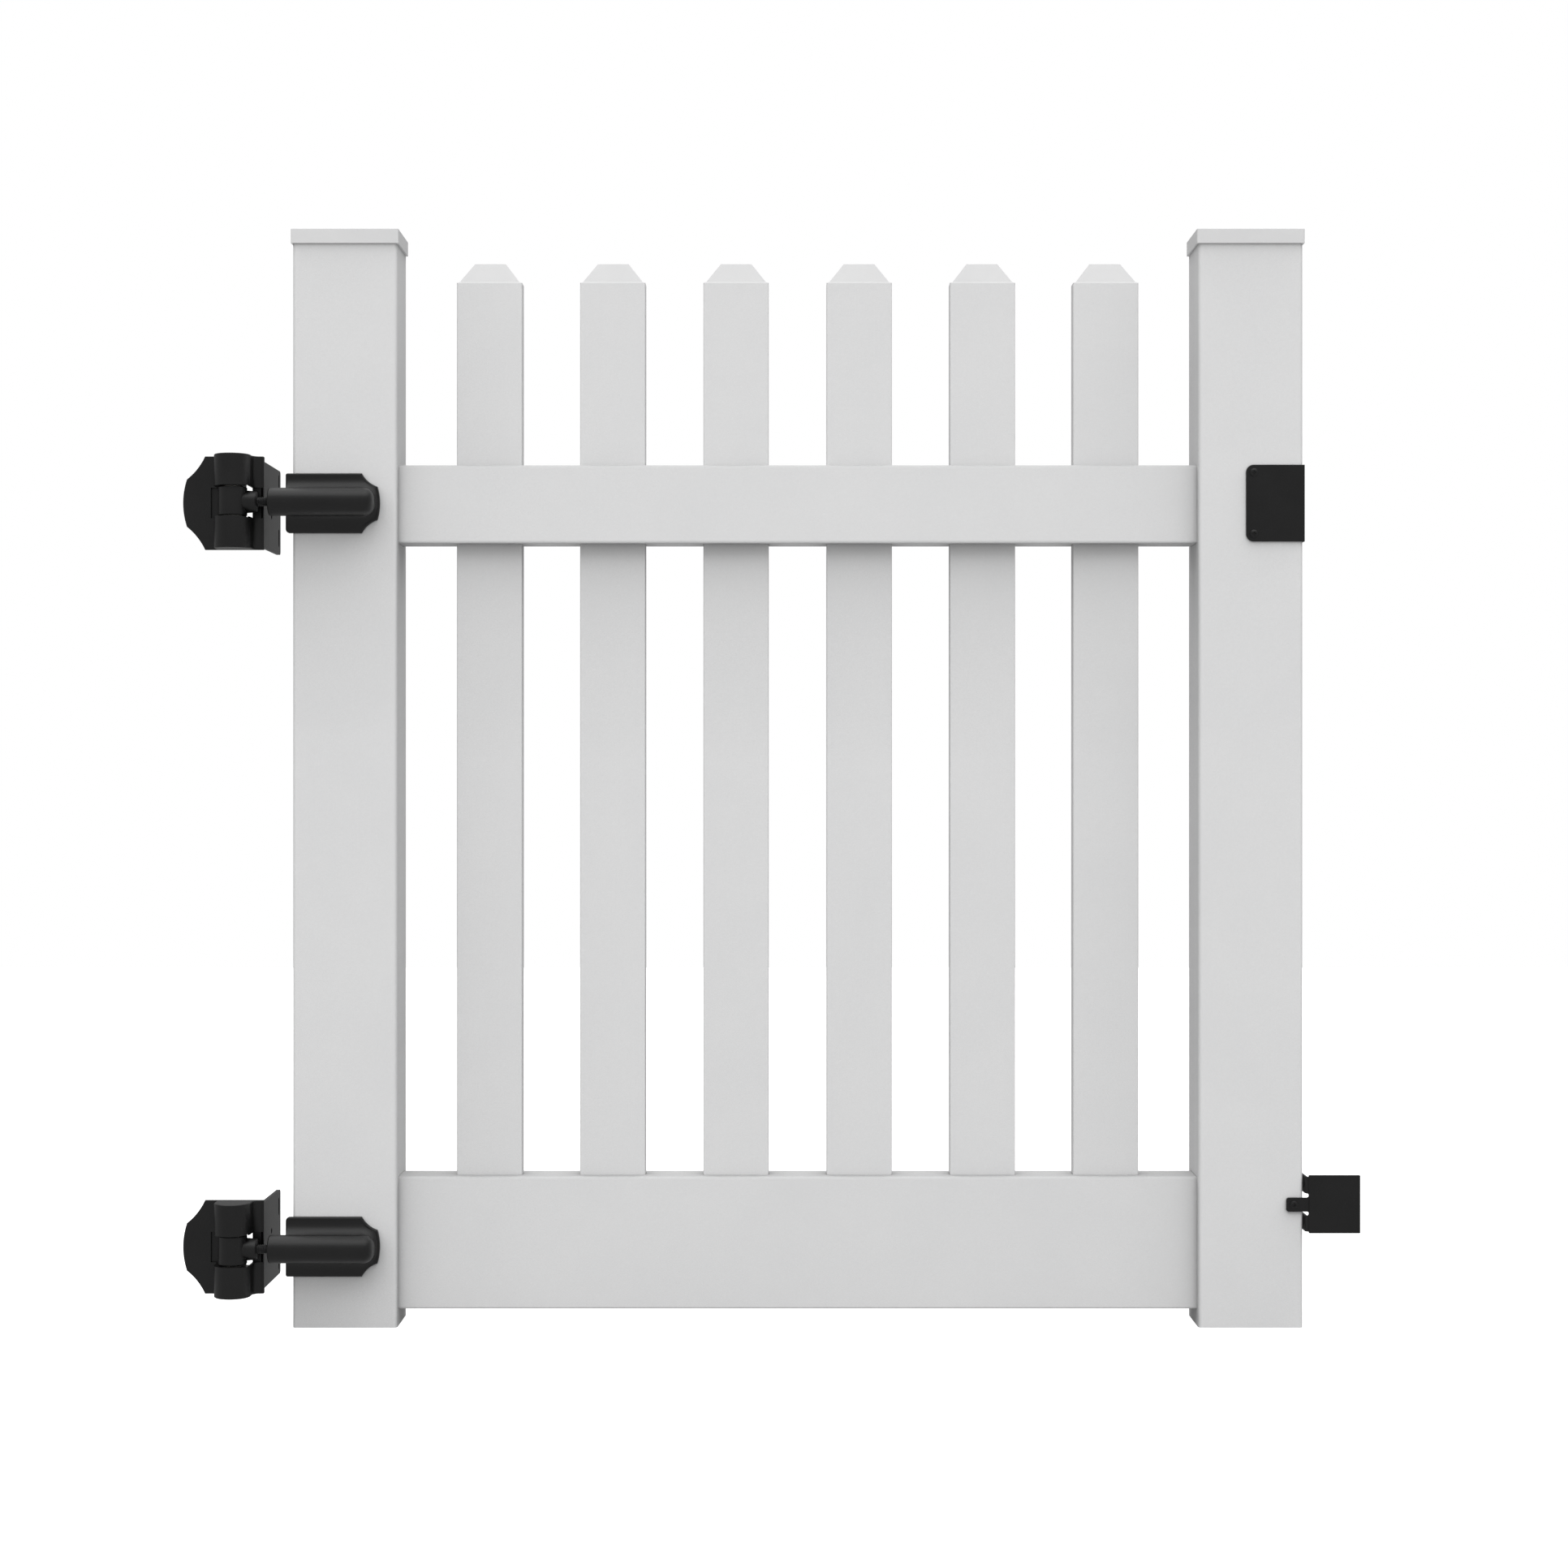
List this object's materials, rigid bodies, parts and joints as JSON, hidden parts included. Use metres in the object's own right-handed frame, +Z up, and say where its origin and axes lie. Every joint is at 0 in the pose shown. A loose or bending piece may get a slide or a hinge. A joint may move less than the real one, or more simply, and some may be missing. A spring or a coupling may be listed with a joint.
{
  "type": "garden gate",
  "caption": "Hinged picket garden gate: two hollow posts, two rails and hipped pickets, with wrap-round spring hinges, a latch plate and a stop.",
  "frame": {"origin": "middle of the gate's width and depth, level with the bottom ends of the two uprights, with the gate closed", "axes": "+X from the hinge side to the latch side, +Y through the gate to its back, +Z up; the front, with the hinge barrels, faces -Y"},
  "size_m": [1.3602, 0.1386, 1.2709],
  "materials": {
    "vinyl_white": "satin white vinyl",
    "vinyl_caps": "moulded white vinyl, a little glossier",
    "black_hardware": "black powder coat, fine texture",
    "screw_black": "black oxide",
    "stud_steel": "blackened threaded steel",
    "pin_steel": "ground steel",
    "spring_steel": "oiled spring steel",
    "bush_nylon": "natural nylon",
    "dial_plastic": "black glass-filled nylon",
    "aluminium_insert": "mill finish"
  },
  "bodies": {
    "post_hardware": {"lower_hinge_pin": "pin_steel", "lower_post_leaf": "black_hardware", "lower_spring": "spring_steel", "upper_hinge_pin": "pin_steel", "upper_post_leaf": "black_hardware", "upper_spring": "spring_steel"},
    "hinge_arms": {"lower_bushes": "bush_nylon", "lower_knuckle": "black_hardware", "lower_stud": "stud_steel", "upper_bushes": "bush_nylon", "upper_knuckle": "black_hardware", "upper_stud": "stud_steel"},
    "gate": {"bottom_rail": "vinyl_white", "bottom_rail_channel": "aluminium_insert", "latch_plate": "black_hardware", "latch_screws": "screw_black", "left_upright": "vinyl_white", "left_upright_cap": "vinyl_caps", "left_upright_insert": "aluminium_insert", "lower_gate_leaf": "black_hardware", "lower_hinge_screws": "screw_black", "picket_1": "vinyl_white", "picket_2": "vinyl_white", "picket_3": "vinyl_white", "picket_4": "vinyl_white", "picket_5": "vinyl_white", "picket_6": "vinyl_white", "picket_cap_1": "vinyl_caps", "picket_cap_2": "vinyl_caps", "picket_cap_3": "vinyl_caps", "picket_cap_4": "vinyl_caps", "picket_cap_5": "vinyl_caps", "picket_cap_6": "vinyl_caps", "right_upright": "vinyl_white", "right_upright_cap": "vinyl_caps", "right_upright_insert": "aluminium_insert", "stop_bracket": "black_hardware", "stop_screw": "screw_black", "top_rail": "vinyl_white", "upper_gate_leaf": "black_hardware", "upper_hinge_screws": "screw_black"},
    "upper_tension": {"upper_tension_dial": "dial_plastic"},
    "lower_tension": {"lower_tension_dial": "dial_plastic"}
  },
  "joints": [
    {"name": "gate_swing", "type": "hinge", "parent": "post_hardware", "child": "hinge_arms", "pos_m": [-0.6495, -0.0581, 0.5238], "axis": [0, 0, -1], "range_deg": [0, 110], "stiffness_Nm_per_rad": 4, "springref_deg": -34.38},
    {"name": "width_adjustment", "type": "slide", "parent": "hinge_arms", "child": "gate", "axis": [1, 0, 0], "range_m": [-0.005, 0.005]},
    {"name": "upper_tension_turn", "type": "hinge", "parent": "post_hardware", "child": "upper_tension", "pos_m": [-0.6495, -0.0581, 1.004], "axis": [0, 0, 1], "range_deg": [0, 180]},
    {"name": "lower_tension_turn", "type": "hinge", "parent": "post_hardware", "child": "lower_tension", "pos_m": [-0.6495, -0.0581, 0.0436], "axis": [0, 0, 1], "range_deg": [0, 180]}
  ]
}
